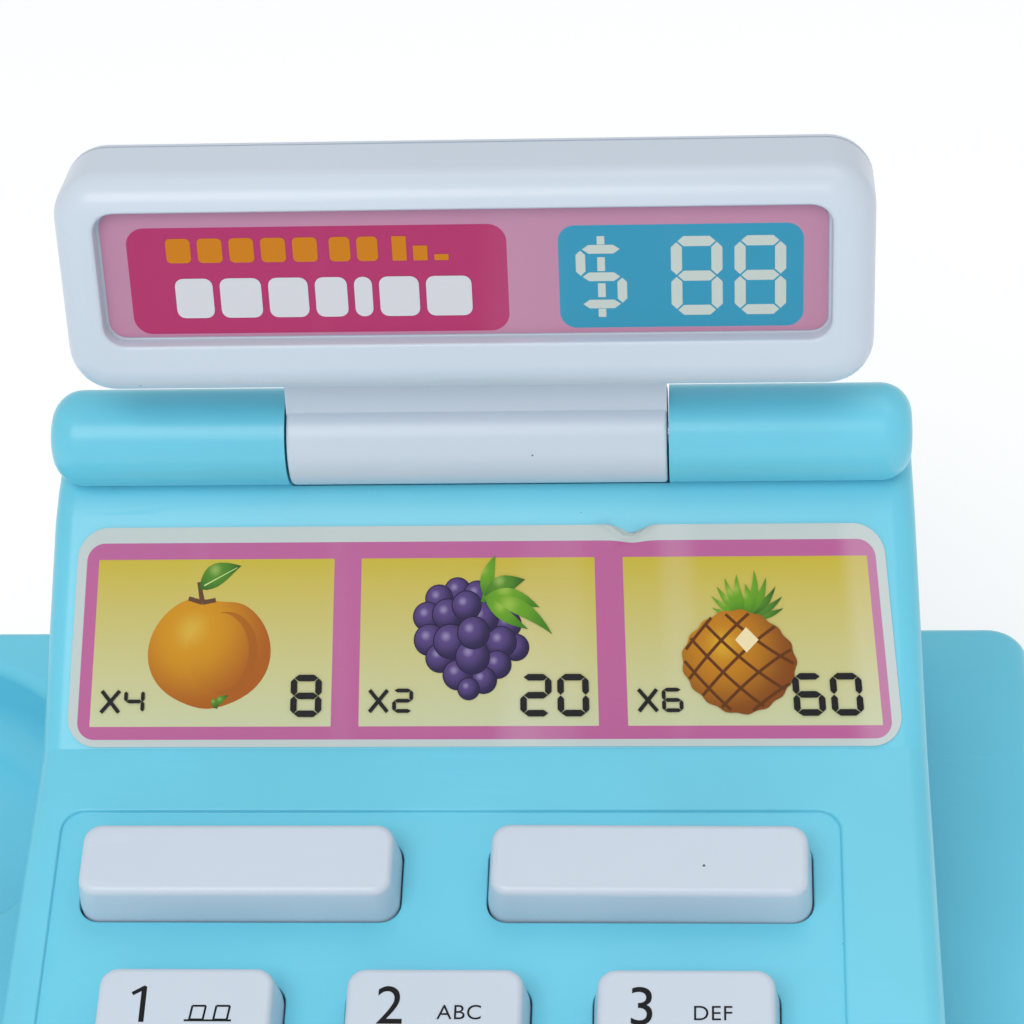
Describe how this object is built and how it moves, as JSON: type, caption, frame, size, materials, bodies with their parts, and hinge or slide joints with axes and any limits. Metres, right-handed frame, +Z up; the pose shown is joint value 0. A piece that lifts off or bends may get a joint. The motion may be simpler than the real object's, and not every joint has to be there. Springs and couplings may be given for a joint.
{
  "type": "toy cash register",
  "caption": "Toy cash register with a number keypad, price label, tilting display on a hinge, coin bowl and a sliding drawer.",
  "frame": {"origin": "centre of the footprint, on the surface the feet stand on", "axes": "+X to the right as the user faces the keypad, +Y from the user towards the display, +Z up"},
  "size_m": [0.177, 0.145, 0.1335],
  "materials": {
    "sky_blue_plastic": "smooth gloss",
    "white_plastic": "smooth gloss",
    "label_print": "printed paper under clear film",
    "display_print": "printed paper under clear film",
    "steel": "plated",
    "silicone_rubber": "matt",
    "circuit_board": "lacquered fibre board",
    "black_plastic": "satin",
    "battery_wrap": "printed film on steel",
    "grey_rubber": "matt"
  },
  "bodies": {
    "housing": {"base_shell": "sky_blue_plastic", "battery_1": "battery_wrap", "battery_2": "battery_wrap", "battery_contact_1": "steel", "battery_contact_2": "steel", "battery_cover": "sky_blue_plastic", "battery_spring_1": "steel", "battery_spring_2": "steel", "board_screw_1": "steel", "board_screw_2": "steel", "board_screw_3": "steel", "board_screw_4": "steel", "case_screw_1": "steel", "case_screw_2": "steel", "case_screw_3": "steel", "case_screw_4": "steel", "circuit_board": "circuit_board", "cover_screw": "steel", "drawer_latch": "white_plastic", "drawer_spring": "steel", "foot_1": "grey_rubber", "foot_2": "grey_rubber", "foot_3": "grey_rubber", "foot_4": "grey_rubber", "hinge_pin": "steel", "key_membrane": "silicone_rubber", "latch_screw": "steel", "price_label": "label_print", "sound_chip": "black_plastic", "speaker": "black_plastic", "top_shell": "sky_blue_plastic"},
    "display": {"display_case": "white_plastic", "display_back": "white_plastic", "display_label": "display_print", "display_screw_1": "steel", "display_screw_2": "steel"},
    "drawer": {"drawer_tray": "white_plastic", "drawer_front": "white_plastic"},
    "release_key": {"drawer_release_key": "white_plastic"},
    "wide_key": {"wide_key_left": "white_plastic"},
    "number_key_1": {"key_1": "white_plastic"},
    "number_key_2": {"key_2": "white_plastic"},
    "number_key_3": {"key_3": "white_plastic"},
    "number_key_4": {"key_4": "white_plastic"},
    "number_key_5": {"key_5": "white_plastic"},
    "number_key_6": {"key_6": "white_plastic"},
    "number_key_7": {"key_7": "white_plastic"},
    "number_key_8": {"key_8": "white_plastic"},
    "number_key_9": {"key_9": "white_plastic"},
    "number_key_star": {"key_star": "white_plastic"},
    "number_key_0": {"key_0": "white_plastic"},
    "number_key_hash": {"key_hash": "white_plastic"}
  },
  "joints": [
    {"name": "display_tilt", "type": "hinge", "parent": "housing", "child": "display", "pos_m": [0.0235, 0.04302, 0.09756], "axis": [1, 0, 0], "range_deg": [-40, 30]},
    {"name": "drawer_slide", "type": "slide", "parent": "housing", "child": "drawer", "axis": [0, -1, 0], "range_m": [0, 0.06], "deforming": ["drawer_spring", "drawer_latch"]},
    {"name": "release_key_press", "type": "slide", "parent": "housing", "child": "release_key", "axis": [0, 0.2957, -0.9553], "range_m": [0, 0.003], "stiffness_N_per_m": 200, "springref_m": -0.003, "deforming": ["drawer_latch"]},
    {"name": "wide_key_press", "type": "slide", "parent": "housing", "child": "wide_key", "axis": [0, 0.2957, -0.9553], "range_m": [0, 0.002], "stiffness_N_per_m": 200, "springref_m": -0.002, "deforming": ["key_membrane"]},
    {"name": "key_1_press", "type": "slide", "parent": "housing", "child": "number_key_1", "axis": [0, 0.2957, -0.9553], "range_m": [0, 0.002], "stiffness_N_per_m": 200, "springref_m": -0.002, "deforming": ["key_membrane"]},
    {"name": "key_2_press", "type": "slide", "parent": "housing", "child": "number_key_2", "axis": [0, 0.2957, -0.9553], "range_m": [0, 0.002], "stiffness_N_per_m": 200, "springref_m": -0.002, "deforming": ["key_membrane"]},
    {"name": "key_3_press", "type": "slide", "parent": "housing", "child": "number_key_3", "axis": [0, 0.2957, -0.9553], "range_m": [0, 0.002], "stiffness_N_per_m": 200, "springref_m": -0.002, "deforming": ["key_membrane"]},
    {"name": "key_4_press", "type": "slide", "parent": "housing", "child": "number_key_4", "axis": [0, 0.2957, -0.9553], "range_m": [0, 0.002], "stiffness_N_per_m": 200, "springref_m": -0.002, "deforming": ["key_membrane"]},
    {"name": "key_5_press", "type": "slide", "parent": "housing", "child": "number_key_5", "axis": [0, 0.2957, -0.9553], "range_m": [0, 0.002], "stiffness_N_per_m": 200, "springref_m": -0.002, "deforming": ["key_membrane"]},
    {"name": "key_6_press", "type": "slide", "parent": "housing", "child": "number_key_6", "axis": [0, 0.2957, -0.9553], "range_m": [0, 0.002], "stiffness_N_per_m": 200, "springref_m": -0.002, "deforming": ["key_membrane"]},
    {"name": "key_7_press", "type": "slide", "parent": "housing", "child": "number_key_7", "axis": [0, 0.2957, -0.9553], "range_m": [0, 0.002], "stiffness_N_per_m": 200, "springref_m": -0.002, "deforming": ["key_membrane"]},
    {"name": "key_8_press", "type": "slide", "parent": "housing", "child": "number_key_8", "axis": [0, 0.2957, -0.9553], "range_m": [0, 0.002], "stiffness_N_per_m": 200, "springref_m": -0.002, "deforming": ["key_membrane"]},
    {"name": "key_9_press", "type": "slide", "parent": "housing", "child": "number_key_9", "axis": [0, 0.2957, -0.9553], "range_m": [0, 0.002], "stiffness_N_per_m": 200, "springref_m": -0.002, "deforming": ["key_membrane"]},
    {"name": "key_star_press", "type": "slide", "parent": "housing", "child": "number_key_star", "axis": [0, 0.2957, -0.9553], "range_m": [0, 0.002], "stiffness_N_per_m": 200, "springref_m": -0.002, "deforming": ["key_membrane"]},
    {"name": "key_0_press", "type": "slide", "parent": "housing", "child": "number_key_0", "axis": [0, 0.2957, -0.9553], "range_m": [0, 0.002], "stiffness_N_per_m": 200, "springref_m": -0.002, "deforming": ["key_membrane"]},
    {"name": "key_hash_press", "type": "slide", "parent": "housing", "child": "number_key_hash", "axis": [0, 0.2957, -0.9553], "range_m": [0, 0.002], "stiffness_N_per_m": 200, "springref_m": -0.002, "deforming": ["key_membrane"]}
  ]
}
